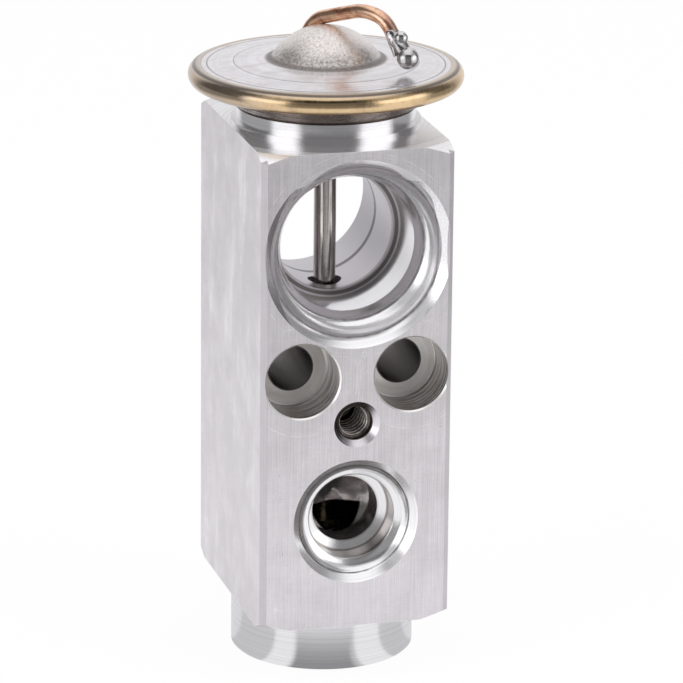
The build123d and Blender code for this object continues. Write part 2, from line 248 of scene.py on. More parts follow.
# the camera, and what the metal reflects: angles in degrees round from the camera, sky heights
# as the sine of the elevation, floor distances in millimetres out from the valve's axis
studio = {
    "azimuth": -15.576,
    "elevation": 17.035,
    "roll": 0.557,
    "distance": 0.7026,
    "focalPixels": 4849.9,
    "framePixels": 683,
    "sensor": 36.0,
    "clip": (0.01, 20.0),
    "sideStep": 0.002575,  # aim beside the valve's axis
    "aimHeight": 0.04582,
    "lamps": (("leftSoftbox", -53.0), ("rightSoftbox", 64.0)),
    "lampElevation": 35.0,
    "lampDistance": 0.9,
    "lampSize": 0.6,
    "lampPower": 3.0,
    "lampAimHeight": 0.05,
    "fill": 0.75,
    "coolness": 1.02,
    "backdrop": (1.0, 1.0, 1.0),
    "leftCentre": -52.0,
    "leftHalf": 12.0,
    "rightCentre": 68.0,
    "rightHalf": 17.0,
    "softEdge": 16.0,
    "frontTo": 24.0,
    "frontEdge": 22.0,
    "behindFrom": 115.0,
    "behindTo": 150.0,
    "behindLevel": 0.85,
    "skyFront": 0.04,
    "skySide": 0.14,
    "skyBoxes": 0.45,
    "lowFront": 0.17,
    "lowBoxes": 1.5,
    "lowTo": 0.34,
    "highFrom": 0.55,
    "roofFrom": 0.72,
    "roofTo": 0.93,
    "roofLevel": 1.0,
    "floorSize": 6.0,
    "floorDrop": 0.00005,
    "floorPaint": (0.93, 0.93, 0.93),
    "floorRough": 0.9,
    "floorGloss": 0.1,
    "floorGlow": 0.94,
    "floorFront": 0.24,
    "floorSide": 0.34,
    "floorBoxes": 1.0,
    "contactFrom": 14.0,
    "contactTo": 42.0,
    "contactLevel": 0.29,
    "contactShare": 0.85,
    "shareTo": 84.0,
    "nearShare": 0.97,
    "nearLevel": 0.9,
    "nearSide": 0.68,
    "nearTo": 95.0,
    "farFrom": 240.0,
    "spread": 1.6,
    "spreadTo": 60.0,
}


def outward(azimuth, elevation):
    turn, rise = math.radians(azimuth), math.radians(elevation)
    return Vector((math.sin(turn) * math.cos(rise), -math.cos(turn) * math.cos(rise), math.sin(rise)))


def aimCamera(s):
    turn, roll = math.radians(s["azimuth"]), math.radians(s["roll"])
    back = outward(s["azimuth"], s["elevation"])
    right = Vector((math.cos(turn), math.sin(turn), 0))
    up = back.cross(right)
    tiltedRight = math.cos(roll) * right + math.sin(roll) * up
    tiltedUp = math.cos(roll) * up - math.sin(roll) * right
    aim = right * s["sideStep"] + Vector((0, 0, s["aimHeight"]))
    data = bpy.data.cameras.new("camera")
    data.sensor_width = s["sensor"]
    data.lens = s["focalPixels"] / s["framePixels"] * s["sensor"]
    data.clip_start, data.clip_end = s["clip"]
    camera = bpy.data.objects.new("camera", data)
    bpy.context.scene.collection.objects.link(camera)
    turned = Matrix((tiltedRight, tiltedUp, back)).transposed().to_4x4()
    camera.matrix_world = Matrix.Translation(aim + back * s["distance"]) @ turned
    bpy.context.scene.camera = camera


def hangSoftboxes(s):
    for name, azimuth in s["lamps"]:
        away = outward(s["azimuth"] + azimuth, s["lampElevation"])
        data = bpy.data.lights.new(name, "AREA")
        data.shape = "RECTANGLE"
        data.size = s["lampSize"]
        data.size_y = s["lampSize"]
        data.energy = s["lampPower"]
        lamp = bpy.data.objects.new(name, data)
        bpy.context.scene.collection.objects.link(lamp)
        lamp.location = Vector((0, 0, s["lampAimHeight"])) + away * s["lampDistance"]
        lamp.rotation_euler = away.to_track_quat("Z", "Y").to_euler()
        lamp.visible_glossy = False


def studioLevel(nodes, x, y, s, front, side, boxes, spread=1.0):
    # what polished metal sees around it: dark towards the camera, a softbox on each side of that,
    # grey further round and a pale backdrop behind
    turn = math.radians(s["azimuth"])
    flat = (x * x + y * y).root().largest(0.0001)
    ahead = (x * math.sin(turn) - y * math.cos(turn)) / flat
    across = (x * math.cos(turn) + y * math.sin(turn)) / flat
    angle = nodes.add("ShaderNodeMath", {"operation": "ARCTAN2"}, {0: across, 1: ahead})
    angle = angle * (180 / math.pi) * spread
    left = angle.around(s["leftCentre"], s["leftHalf"], s["softEdge"])
    right = angle.around(s["rightCentre"], s["rightHalf"], s["softEdge"])
    behind = abs(angle).ramp(s["behindFrom"], s["behindTo"])
    plain = abs(angle).ramp(s["frontTo"], s["frontTo"] + s["frontEdge"], front, side)
    level = plain.largest(behind * s["behindLevel"])
    return level.largest(left.largest(right) * boxes)


def buildWorld(s):
    world = bpy.data.worlds.new("studio")
    bpy.context.scene.world = world
    world.use_nodes = True
    world.node_tree.nodes.clear()
    w = Nodes(world.node_tree)
    isCamera, isGlossy, isTransmission = w.rays("Is Camera Ray", "Is Glossy Ray", "Is Transmission Ray")
    x, y, z = w.split(w.add("ShaderNodeTexCoord", out="Generated"))
    overhead = z.ramp(s["roofFrom"], s["roofTo"])
    low = z.ramp(s["lowTo"], s["highFrom"], 1.0, 0.0)
    front = low * (s["lowFront"] - s["skyFront"]) + s["skyFront"]
    boxes = low * (s["lowBoxes"] - s["skyBoxes"]) + s["skyBoxes"]
    level = studioLevel(w, x, y, s, front, s["skySide"], boxes)
    level = level + (s["roofLevel"] - level) * overhead
    seen = w.mix(isGlossy, s["backdrop"], w.grey(level, s["coolness"]))
    lit = w.add("ShaderNodeBackground", None, {"Color": s["backdrop"], "Strength": s["fill"]})
    shown = w.add("ShaderNodeBackground", None, {"Color": seen, "Strength": 1.0})
    direct = isCamera.largest(isGlossy).largest(isTransmission)
    picked = w.add("ShaderNodeMixShader", None, {0: direct, 1: lit, 2: shown})
    output = w.tree.nodes.new("ShaderNodeOutputWorld")
    w.feed(output.inputs["Surface"], picked)


def layFloor(s):
    bpy.ops.mesh.primitive_plane_add(size=s["floorSize"], location=(0, 0, -s["floorDrop"]))
    floor = bpy.context.object
    floor.name = "floor"
    f = Finish("paleFloor", metallic=0.0)
    f.set(Base_Color=s["floorPaint"], Roughness=s["floorRough"], Specular_IOR_Level=s["floorGloss"])
    isGlossy, isCamera = f.rays("Is Glossy Ray", "Is Camera Ray")
    x, y, z = f.split(f.place())
    away = (x * x + y * y).root() * 1000
    near = away.ramp(s["contactFrom"], s["contactTo"], s["contactLevel"], s["nearLevel"])
    far = away.ramp(s["nearTo"], s["farFrom"])
    # close in, a curved side throws a ray further round than where it lands
    spread = away.ramp(s["contactFrom"], s["spreadTo"], s["spread"], 1.0)
    distant = studioLevel(f, x, y, s, s["floorFront"], s["floorSide"], s["floorBoxes"], spread)
    beside = studioLevel(f, x, y, s, 0.0, s["nearSide"], s["floorBoxes"], spread)
    near = near.largest(beside * away.ramp(s["contactFrom"], s["shareTo"], s["contactShare"], s["nearShare"]))
    level = near + (distant - near) * far
    seen = f.mix(isGlossy, s["backdrop"], f.grey(level, s["coolness"]))
    glow = f.add("ShaderNodeEmission", None, {"Color": seen})
    direct = (isCamera * s["floorGlow"]).largest(isGlossy)
    painted = Wire(f, f.shader.outputs[0])
    picked = f.add("ShaderNodeMixShader", None, {0: direct, 1: painted, 2: glow})
    output = next(n for n in f.tree.nodes if n.type == "OUTPUT_MATERIAL")
    f.feed(output.inputs["Surface"], picked)
    floor.data.materials.append(f.material)


aimCamera(studio)
buildWorld(studio)
layFloor(studio)
hangSoftboxes(studio)
bpy.context.scene.view_settings.view_transform = "Standard"
print("studio ready")


# millimetres throughout: radii are round each hole's own axis, and mouths reach a little past it
block = {
    "flatFacing": (0.985, 0.995),
    "faceX": 13.95,
    "faceY": 18.2,
    "edgeX": 13.15,
    "edgeY": 17.4,
    "turnedBelow": 8.65,
    "turnedAbove": 78.85,
    "turnedRadius": 20.62,
    "cornerRadius": 18.3,
    "cornerAbove": 74.0,
    "suctionZ": 63.9,
    "suctionMouth": 13.75,
    "suctionLip": 13.62,
    "suctionLines": (10.72, 12.45),
    "suctionCove": 11.9,
    "suctionRoll": 10.6,
    "mouthDepthY": 11.0,
    "passageY": 4.7,
    "passageLineY": -4.3,
    "passageRadius": 8.95,
    "rearEdgeRadius": 9.2,
    "stepRadius": 9.95,
    "stepLine": 9.42,
    "inletZ": 24.35,
    "outletZ": 32.6,
    "portSplitY": -1.0,
    "portMouth": 9.23,
    "portLip": 9.1,
    "portLine": 8.12,
    "portCove": 7.35,
    "spigotWall": (6.1, 6.35),
    "drillRadius": 6.3,
    "drillFromY": (-12.25, -12.0),
    "chamberRadius": 8.1,
    "chamberTop": 23.5,
    "boltX": 8.0,
    "boltZ": 45.8,
    "boltMouth": 5.7,
    "boltWallFrom": 5.3,
    "boltCornerFrom": 5.15,
    "boltFloorY": -11.35,
    "boltLipY": -18.0,
    "boltDrill": 3.4,
    "witness": (8.05, 7.6),
    "portWitness": (14.9, 14.4),
    "studZ": 38.9,
    "studMouth": 3.42,
    "studHole": 2.56,
    "studTurns": (2.72, 3.05),
    "studTurnsTo": 3.3,
    "studArcs": (11.6, 10.4),
    "studArcsAbove": 3.0,
    "colours": {
        "metal": (0.79, 0.76, 0.785),
        "bright": (0.95, 0.94, 0.95),
        "residue": (0.93, 0.92, 0.93),
        "grime": (0.10, 0.09, 0.085),
        "edge": (0.42, 0.40, 0.42),
        "boltWall": (0.97, 0.94, 0.90),
        "boltRingsAndShade": (0.16, 0.13, 0.11),
        "boltFloor": (1.0, 0.97, 0.94),
        "boltRing": (0.50, 0.45, 0.42),
        "boltFloorShade": (0.26, 0.23, 0.21),
        "boltDrill": (0.07, 0.06, 0.055),
        "boltLip": (0.98, 0.96, 0.94),
        "drillWallShade": (0.25, 0.215, 0.20),
        "spigotWall": (0.33, 0.29, 0.265),
        "lip": (1.0, 0.99, 0.98),
        "mouthLine": (0.20, 0.18, 0.175),
        "passage": (0.60, 0.565, 0.60),
        "passageLine": (0.24, 0.20, 0.18),
        "rearEdge": (0.13, 0.115, 0.11),
        "stepLine": (0.16, 0.14, 0.125),
        "chamber": (0.12, 0.11, 0.10),
        "studHole": (0.10, 0.085, 0.075),
        "turnShade": (0.09, 0.08, 0.07),
        "turnHighlight": (0.70, 0.64, 0.58),
    },
    "rough": {"face": 0.36, "side": 0.14, "polish": 0.11, "bolt": 0.22, "stud": 0.2, "inner": 0.03,
              "residue": 0.12, "passage": 0.22, "turned": 0.1, "least": 0.08},
    "matt": {"face": 0.2, "side": 0.22, "edge": 0.1, "residue": 0.14, "corner": 0.3, "boltFloor": 0.9,
             "boltWall": 0.22, "port": 0.14, "turned": 0.12, "most": 0.6},
}


def ringDistance(across, along, centreX, centreZ):
    dx = across - centreX
    dz = along - centreZ
    return (dx * dx + dz * dz).root()


def blockZones(f, b):
    # where on the block a point is, as masks, and its distance from each hole's axis
    x, y, z = f.spot()
    nx, ny, nz = f.facing()
    m = SimpleNamespace(x=x, y=y, z=z, ny=ny)
    m.axisRadius = (x * x + y * y).root()
    m.suction = ringDistance(x, z, 0.0, b["suctionZ"])
    m.inlet = ringDistance(x, z, 0.0, b["inletZ"])
    m.outlet = ringDistance(x, z, 0.0, b["outletZ"])
    m.bolt = ringDistance(abs(x), z, b["boltX"], b["boltZ"])
    m.stud = ringDistance(x, z, 0.0, b["studZ"])

    m.isFlatY = abs(ny).ramp(*b["flatFacing"])
    m.isSide = abs(nx).ramp(*b["flatFacing"])
    m.outside = (abs(y) > b["faceY"]).largest(abs(x) > b["faceX"])
    m.isEdge = (abs(x) > b["edgeX"]) * (abs(y) > b["edgeY"])
    m.isFace = (m.isFlatY.largest(m.isSide) * m.outside).largest(m.isEdge)
    m.isInner = 1.0 - m.isFace
    m.isTurned = (z < b["turnedBelow"]).largest(z > b["turnedAbove"])
    m.isTurnedFlat = m.isTurned * (abs(nz) > 0.9)
    m.isEnd = m.isTurned.largest((m.axisRadius > b["turnedRadius"]) * m.isInner)
    m.isCorner = (m.axisRadius > b["cornerRadius"]) * (z > b["cornerAbove"]) * m.isInner

    m.inBolt = (m.bolt < b["boltMouth"]) * m.isInner
    m.boltWall = m.inBolt * (m.bolt > b["boltWallFrom"])
    m.boltFloor = m.inBolt * (1.0 - m.boltWall)
    m.inStud = (m.stud < b["studMouth"]) * m.isInner
    m.inSuction = (m.suction < b["suctionMouth"]) * m.isInner * (1.0 - m.isEnd)
    m.passage = m.inSuction * (y > -b["passageY"])
    m.inInlet = (m.inlet < b["portMouth"]) * (y < b["portSplitY"]) * m.isInner
    m.inOutlet = (m.outlet < b["portMouth"]) * (y > b["portSplitY"]) * m.isInner
    m.inSmallPort = m.inInlet.largest(m.inOutlet)
    m.inPort = m.inSuction.largest(m.inInlet).largest(m.inOutlet)
    m.polish = m.inPort.largest(m.isEnd)
    ports = m.suction * m.inSuction + m.inlet * m.inInlet + m.outlet * m.inOutlet
    m.portRadius = ports + m.bolt * m.inBolt
    return m


def blockGrain(f, m):
    x, y, z = m.x, m.y, m.z
    m.brushed = f.streaks(x * 5.0, y * 5.0, z * 0.10, 4.0, 0.65)
    m.fineBrush = f.streaks(x * 14.0, y * 14.0, z * 0.5, 2.0, 0.6)
    m.crossBrush = f.streaks(x * 0.35, y * 0.35, z * 7.0, 2.0, 0.6)
    m.turnedLines = f.streaks(0.0, m.axisRadius * 3.0, z * 6.5, 3.0, 0.7)
    m.boreLines = f.streaks(m.portRadius * 4.0, y * 5.5, 0.0, 3.0, 0.7)
    m.boltRings = f.streaks(x * 0.15, y * 2.6, m.bolt * 1.6, 5.0, 0.75)
    m.clouds = f.patches(0.18, 4.0, 0.55)
    m.smallClouds = f.patches(0.9, 4.0, 0.6)
    m.grain = f.patches(9.0, 2.0, 0.7)


def blockMarks(f, b, m):
    x, y, z = m.x, m.y, m.z
    # pale residue runs down the left and right sides
    streak = f.streaks(x * 0.3, y * 0.26 + z * 0.012, z * 0.05, 5.0, 0.62, 0.25)
    m.residue = streak.ramp(0.50, 0.66) * m.clouds.ramp(0.38, 0.6, 0.35, 1.0) * m.isSide * m.outside
    # small dark specks, few on the faces and more in the mouths
    m.specks = f.patches(1.9, 1.0, 0.4).ramp(0.815, 0.835)
    m.portSpecks = f.patches(3.4, 2.0, 0.6).ramp(0.72, 0.78) * m.inPort

    # faint rings left by a spot facing tool, and arcs round the stud's hole
    witness = m.bolt.around(b["witness"][0], 0.05, 0.09)
    witness = witness.largest(m.bolt.around(b["witness"][1], 0.02, 0.05) * 0.6)
    arcs = m.stud.around(b["studArcs"][0], 0.03, 0.08)
    arcs = arcs.largest(m.stud.around(b["studArcs"][1], 0.03, 0.06) * 0.7)
    arcs = arcs * (z < b["studZ"] + b["studArcsAbove"])
    portWitness = m.suction.around(b["portWitness"][0], 0.05, 0.1) * 0.8
    portWitness = portWitness + m.suction.around(b["portWitness"][1], 0.03, 0.05) * 0.5
    rings = witness.largest(arcs * 0.6).largest(portWitness)
    m.rings = rings * m.smallClouds.ramp(0.42, 0.6) * m.isFlatY * m.outside

    # odd straight scratches, and short nicks
    first = f.noise(f.point(x * 0.5 + z * 0.14, y, z * 0.5 - x * 1.6), 0.8, 1.0, 0.3)
    second = f.noise(f.point(x * 0.9 - z * 0.5, y, z * 0.12 + x * 0.3), 0.9, 1.0, 0.3)
    scratches = first.around(0.5, 0.002, 0.003).largest(second.around(0.47, 0.002, 0.003))
    m.scratches = scratches * m.clouds.ramp(0.5, 0.62) * m.isFace
    m.nicks = f.streaks(x * 1.6 + 20.0, y, z * 1.2, 2.0, 0.55).ramp(0.73, 0.76) * m.isFace


def blockFaces(f, c, m):
    calm = 1.0 - m.isSide * 0.65
    shade = 1.0 + m.brushed.ramp(0.3, 0.72, -0.09, 0.06) * calm + m.clouds.swing(-0.06, 0.04)
    shade = shade + m.crossBrush.ramp(0.35, 0.7, -0.03, 0.03) * m.smallClouds.ramp(0.4, 0.6)
    shade = shade * m.grain.swing(0.96, 1.04)
    endTone = m.turnedLines.swing(0.86, 1.04) * m.isEnd * m.isInner
    otherTone = m.boreLines.swing(0.93, 1.03) * (1.0 - m.isEnd) * m.isInner
    tone = shade * m.isFace + endTone + otherTone
    base = f.toned(f.mix(m.polish, c["metal"], c["bright"]), tone)
    return f.layers(
        base,
        (m.residue * 0.5, c["residue"]),
        (m.rings * 0.55, c["bright"]),
        (m.scratches * 0.6, c["bright"]),
        (m.nicks * 0.5, c["bright"]),
        ((m.specks * 0.85).largest(m.portSpecks * 0.8), c["grime"]),
    )


def blockBolts(f, b, c, m, base):
    # painted shade: the bolt holes' walls are darker toward the lower left and their floors toward the upper
    # left; the walls' dark rings are turning marks
    across = m.x + b["boltX"] - (m.x > 0.0) * (2 * b["boltX"])
    shade = (across * 0.75 + (m.z - b["boltZ"]) * 0.66).ramp(-1.2, -4.6)
    floorShade = (m.z - m.x * 0.4).ramp(44.0, 50.0)
    # painted shade: the drilled through hole is dark; painted highlights: pale lines at the counterbore's
    # corner and at the hole's lip
    drill = m.inBolt * (m.bolt < b["boltDrill"])
    corner = m.inBolt * m.y.around(b["boltFloorY"], 0.15, 0.08) * (m.bolt > b["boltCornerFrom"])
    lip = m.inBolt * (m.y < b["boltLipY"])
    return f.layers(
        base,
        (m.boltWall * 0.5, c["boltWall"]),
        (m.boltWall * m.boltRings.ramp(0.40, 0.56, 0.0, 0.85), c["boltRingsAndShade"]),
        (m.boltWall * shade * 0.75, c["boltRingsAndShade"]),
        (m.boltFloor * 0.95, c["boltFloor"]),
        (m.boltFloor * m.boltRings.ramp(0.42, 0.60, 0.0, 0.2), c["boltRing"]),
        (m.boltFloor * floorShade * 0.6, c["boltFloorShade"]),
        (drill * m.boreLines.swing(0.8, 0.92), c["boltDrill"]),
        (corner.largest(lip) * 0.95, c["boltLip"]),
    )


def blockPorts(f, b, c, m, base):
    y, suction = m.y, m.suction
    # painted shade: the drilled bore deep in the inlet and the spigot's wall in the small ports are darker
    drillWallShade = m.inInlet * (m.inlet < b["drillRadius"]) * y.ramp(*b["drillFromY"])
    innermost, outermost = b["spigotWall"]
    spigotWall = m.inPort * (m.portRadius > innermost) * (m.portRadius < outermost)
    # painted highlights: bright lines on the lips of the port mouths
    lipHighlights = suction.around(b["suctionLip"], 0.05, 0.06) * m.inSuction * (y < 0.0)
    lipHighlights = lipHighlights.largest(m.portRadius.around(b["portLip"], 0.05, 0.06) * m.inSmallPort)
    # painted shade: dark lines where one turned surface meets the next
    lines = m.portRadius.around(b["portLine"], 0.04, 0.1) * m.inSmallPort
    lines = lines.largest(suction.around(b["suctionLines"][0], 0.04, 0.12) * m.inSuction * 0.8)
    lines = lines.largest(suction.around(b["suctionLines"][1], 0.05, 0.14) * m.inSuction * 0.7)
    lines = lines * m.smallClouds.ramp(0.35, 0.6, 0.35, 1.0)
    lines = lines * (y < -b["mouthDepthY"]).largest(y > b["mouthDepthY"])
    # the passage between its two steps is duller; painted shade makes it darker, and its edges and the step
    # darker still
    rearEdge = m.passage * y.around(b["passageY"], 0.42, 0.2) * (suction < b["rearEdgeRadius"])
    stepLine = m.inSuction * (abs(m.ny) > 0.9) * (suction < b["stepRadius"])
    stepLine = stepLine * suction.around(b["stepLine"], 0.22, 0.12)
    passageLine = m.passage * y.around(b["passageLineY"], 0.18, 0.15) * (suction < b["passageRadius"])
    return f.layers(
        base,
        (drillWallShade * m.smallClouds.swing(0.55, 0.85), c["drillWallShade"]),
        (spigotWall * 0.8, c["spigotWall"]),
        (lipHighlights * 0.8, c["lip"]),
        (lines * 0.7, c["mouthLine"]),
        (m.passage * 0.75, c["passage"]),
        (rearEdge * 0.85, c["rearEdge"]),
        (stepLine * 0.85, c["stepLine"]),
        (passageLine * 0.7, c["passageLine"]),
    )


def blockStud(f, b, c, m, base):
    # painted light and shade: the countersink carries the thread's first turns, drawn on its upper left only,
    # and the hole is painted dark
    upLeft = (m.z - b["studZ"] - m.x).ramp(-1.6, 1.2)
    firstTurns = m.inStud * (m.stud > b["studHole"]) * upLeft * (m.stud < b["studTurnsTo"])
    innerTurn, outerTurn = (m.stud.around(radius, 0.03, 0.05) for radius in b["studTurns"])
    turns = f.mix(innerTurn.largest(outerTurn) * 0.8, c["turnShade"], c["turnHighlight"])
    return f.layers(
        base,
        (m.inStud * (m.stud < b["studHole"]) * 0.9, c["studHole"]),
        (firstTurns * 0.85, turns),
    )


def blockRelief(f, b, m):
    height = (m.brushed * 0.7 + m.fineBrush * 0.5 + m.crossBrush * 0.12) * m.isFace
    height = height + m.turnedLines * 0.35 * m.isEnd * m.isInner
    height = height + m.boreLines * (m.inPort * 0.22 + m.inBolt * 0.6)
    height = height - m.rings * 0.3 - m.scratches * 0.5 - m.specks * 0.6 - m.portSpecks * 0.4
    # turned mouths: a cove behind the rounded lip, and a rolled edge before the bore
    cove = m.suction.around(b["suctionCove"], 0.1, 1.1) * -0.16
    cove = cove + m.suction.around(b["suctionRoll"], 0.05, 0.7) * 0.1
    smallCove = m.portRadius.around(b["portCove"], 0.05, 0.95) * -0.2
    mouth = cove * m.inSuction * (m.y < -b["mouthDepthY"]) + smallCove * m.inSmallPort
    f.bump(height, 0.5, 0.00004, f.relief(mouth, 1.0, 0.001))


def dressBlock(b):
    f = Finish("machinedAluminium")
    c, r, s = b["colours"], b["rough"], b["matt"]
    m = blockZones(f, b)
    blockGrain(f, m)
    blockMarks(f, b, m)
    base = blockFaces(f, c, m)
    base = blockBolts(f, b, c, m, base)
    base = blockPorts(f, b, c, m, base)
    base = blockStud(f, b, c, m, base)
    # painted shade: the block's corner edges are darker, and the chamber deep inside is nearly black
    chamber = (m.axisRadius < b["chamberRadius"]) * (m.z < b["chamberTop"])
    base = f.layers(base, (m.isEdge * 0.55, c["edge"]), (chamber * 0.8, c["chamber"]))

    flatSide = m.isSide * m.outside
    rough = m.isFace * r["face"] + flatSide * r["side"] + m.polish * r["polish"]
    rough = rough + m.inBolt * r["bolt"] + m.inStud * r["stud"] + m.isInner * r["inner"]
    rough = rough + m.residue * r["residue"] + m.passage * r["passage"]
    rough = rough + m.brushed.swing(-0.03, 0.05) * m.isFace + m.isTurnedFlat * r["turned"]
    matt = m.isFace * s["face"] + flatSide * s["side"] + m.isEdge * s["edge"]
    matt = matt + m.residue * s["residue"] + m.isCorner * s["corner"]
    matt = matt + m.boltFloor * (m.bolt > b["boltDrill"]) * s["boltFloor"] + m.boltWall * s["boltWall"]
    matt = matt + m.inPort * s["port"] + m.isTurnedFlat * s["turned"]
    f.set(Base_Color=base, Roughness=rough.largest(r["least"]), Metallic=1.0 - matt.smallest(s["most"]))
    blockRelief(f, b, m)
    dress("valve_body", f)


dressBlock(block)
print("block dressed")


head = {
    "plateLines": (17.0, 13.2, 12.85),
    "plateRing": 9.35,
    "domeRadius": (8.25, 8.7),
    "footRadius": 8.25,
    "footShadeRadius": (5.6, 8.1),
    "plate": (0.87, 0.845, 0.865),
    "plateLine": (0.14, 0.12, 0.12),
    "plateRingColour": (0.95, 0.94, 0.95),
    "plateBrown": (0.45, 0.36, 0.28),
    "plateSmear": (0.52, 0.45, 0.42),
    "dome": (0.70, 0.64, 0.61),
    "domeMottleAndLitSide": (0.96, 0.92, 0.89),
    "domePale": (0.92, 0.90, 0.88),
    "domeDark": (0.20, 0.17, 0.155),
    "domeFootShade": (0.19, 0.165, 0.15),
    "foot": (0.16, 0.14, 0.13),
    "gold": (0.77, 0.54, 0.29),
    "goldPale": (0.84, 0.69, 0.49),
    "goldBrown": (0.34, 0.22, 0.13),
    "goldGlint": (0.95, 0.90, 0.80),
    "beadGrey": (0.44, 0.39, 0.35),
    "beadUnder": (0.30, 0.24, 0.18),
    "beadTop": (0.58, 0.52, 0.47),
    "beadSeam": (0.10, 0.08, 0.07),
    "seamZ": 87.1,
    "seamFrom": 17.5,
    "cup": (0.50, 0.44, 0.41),
    "cupBrown": (0.30, 0.23, 0.17),
    "cupGlint": (0.8, 0.77, 0.72),
}


def dressCover(h):
    f = Finish("platedCover")
    x, y, z = f.spot()
    radius = (x * x + y * y).root()
    onDome = radius.ramp(*h["domeRadius"], 1.0, 0.0)
    foot = radius.around(h["footRadius"], 0.25, 0.5)
    spin = f.streaks(radius * 4.5, 0.0, 0.0, 4.0, 0.7)
    wideSpin = f.streaks(radius * 0.8, 3.0, 0.0, 2.0, 0.5)
    clouds = f.patches(0.35, 4.0, 0.6)
    speckle = f.patches(2.6, 5.0, 0.75)
    fineSpeckle = f.patches(9.0, 3.0, 0.8)
    smear = f.noise(f.point(x * 0.3, y, z), 0.5, 5.0, 0.7, 0.6)
    outer, inner, beside = h["plateLines"]
    lines = radius.around(outer, 0.05, 0.1)
    lines = lines.largest(radius.around(inner, 0.045, 0.09) * 0.8)
    lines = lines.largest(radius.around(beside, 0.02, 0.05) * 0.4)
    paleRing = radius.around(h["plateRing"], 0.05, 0.09)
    tone = spin.swing(0.90, 1.03) * wideSpin.ramp(0.35, 0.65, 0.93, 1.03) * clouds.swing(0.93, 1.04)
    plate = f.layers(
        f.toned(h["plate"], tone),
        (lines * 0.8, h["plateLine"]),
        (paleRing * 0.35, h["plateRingColour"]),
        (clouds.ramp(0.5, 0.75) * radius.ramp(14.0, 17.8) * 0.55, h["plateBrown"]),
        (smear.ramp(0.5, 0.66) * 0.35, h["plateSmear"]),
    )
    dark = (speckle.ramp(0.42, 0.30) * 0.75).largest(fineSpeckle.ramp(0.42, 0.30) * 0.5)
    dome = f.layers(
        f.mix(speckle.ramp(0.40, 0.64), h["dome"], h["domeMottleAndLitSide"]),
        (dark, h["domeDark"]),
        (fineSpeckle.ramp(0.62, 0.74) * 0.4, h["domePale"]),
        # painted light: the dome is paler on its right side
        (x.ramp(0.5, 5.0) * 0.45, h["domeMottleAndLitSide"]),
        # painted shade: the dome darkens in patches toward its foot
        (radius.ramp(*h["footShadeRadius"]) * speckle.ramp(0.3, 0.62, 0.85, 0.15), h["domeFootShade"]),
    )
    # painted shade: a dark ring in the crease at the dome's foot
    base = f.layers(f.mix(onDome, plate, dome), (foot * 0.75, h["foot"]))
    rough = onDome * 0.09 + 0.18 + speckle.swing(0.0, 0.12) * onDome + foot * 0.1
    matt = onDome * 0.1 + 0.12
    f.set(Base_Color=base, Roughness=rough + spin.swing(0.0, 0.04), Metallic=1.0 - matt)
    height = spin * (1.0 - onDome) * 0.10 + speckle * onDome * 0.9 + fineSpeckle * onDome * 0.5
    f.bump(height - lines * 0.8 - paleRing * 0.3, 0.5, 0.00004)
    dress("head_cover", f)


def dressBead(h):
    f = Finish("heatTintedBead")
    x, y, z = f.spot()
    radius = (x * x + y * y).root()
    sway = f.noise(f.point(x, y, z * 0.3), 0.22, 4.0, 0.6)
    mottle = f.patches(1.4, 5.0, 0.7)
    fine = f.patches(6.0, 3.0, 0.75)
    alongside = f.streaks(x * 0.5, y * 0.5, z * 6.0, 4.0, 0.65)
    seam = z.around(h["seamZ"], 0.06, 0.14) * (radius > h["seamFrom"])
    base = f.layers(
        f.mix(mottle.ramp(0.35, 0.65) * 0.45, h["gold"], h["goldPale"]),
        (sway.ramp(0.5, 0.66) * 0.3, h["goldBrown"]),
        (mottle.ramp(0.40, 0.32) * 0.4, h["goldBrown"]),
        (x.ramp(-10.0, -18.0) * 0.6, h["beadGrey"]),
        (z.ramp(85.2, 84.6) * 0.45, h["beadUnder"]),
        (z.ramp(86.6, 87.1) * 0.65, h["beadTop"]),
        (seam * 0.85, h["beadSeam"]),
        (fine.ramp(0.62, 0.76) * 0.35, h["goldGlint"]),
    )
    f.set(Base_Color=base, Roughness=mottle.swing(0.07, 0.20))
    f.bump(mottle * 0.5 + fine * 0.2 + alongside * 0.2, 0.4, 0.00005)
    dress("rim_bead", f)


def dressCup(h):
    f = Finish("pressedCup")
    x, y, z = f.spot()
    radius = (x * x + y * y).root()
    spin = f.streaks(radius * 4.0, z * 2.0, 0.0, 4.0, 0.7)
    clouds = f.patches(0.5, 5.0, 0.65)
    grain = f.patches(6.0, 3.0, 0.7)
    base = f.layers(
        f.toned(h["cup"], spin.swing(0.75, 1.1)),
        (clouds.ramp(0.45, 0.65) * 0.5, h["cupBrown"]),
        (grain.ramp(0.6, 0.75) * 0.3, h["cupGlint"]),
    )
    f.set(Base_Color=base, Roughness=clouds.swing(0.16, 0.34))
    f.bump(spin * 0.4 + grain * 0.3, 0.5, 0.00004)
    dress("head_cup", f)


dressCover(head)
dressBead(head)
dressCup(head)
print("head dressed")


# the charging tube and its solder, in millimetres
tube = {
    "copper": (0.98, 0.62, 0.42),
    "copperDark": (0.50, 0.20, 0.11),
    "copperPink": (0.74, 0.46, 0.39),
    "copperPale": (1.0, 0.80, 0.62),
    "tipFrom": (5.0, 8.2),
    "solder": (0.76, 0.74, 0.74),
    "solderGrey": (0.5, 0.48, 0.48),
    "solderDark": (0.22, 0.21, 0.22),
    "foot": (-1.67, 4.82),
    "footZ": 85.75,
    "planeAngle": -53.8,
    # along and up in the tube's plane, with the collar's reach there
    "collar": ((15.05, 8.0, 0.75), (15.35, 7.5, 1.12), (15.8, 6.9, 1.2), (16.35, 6.35, 1.22),
               (16.95, 5.8, 1.3), (17.5, 5.2, 1.25), (18.0, 4.6, 1.1), (18.3, 4.2, 0.6)),
    "collarSides": 14,
    "collarFlatness": 0.85,
    "collarLumps": 0.16,
    "collarRounding": 2,
}


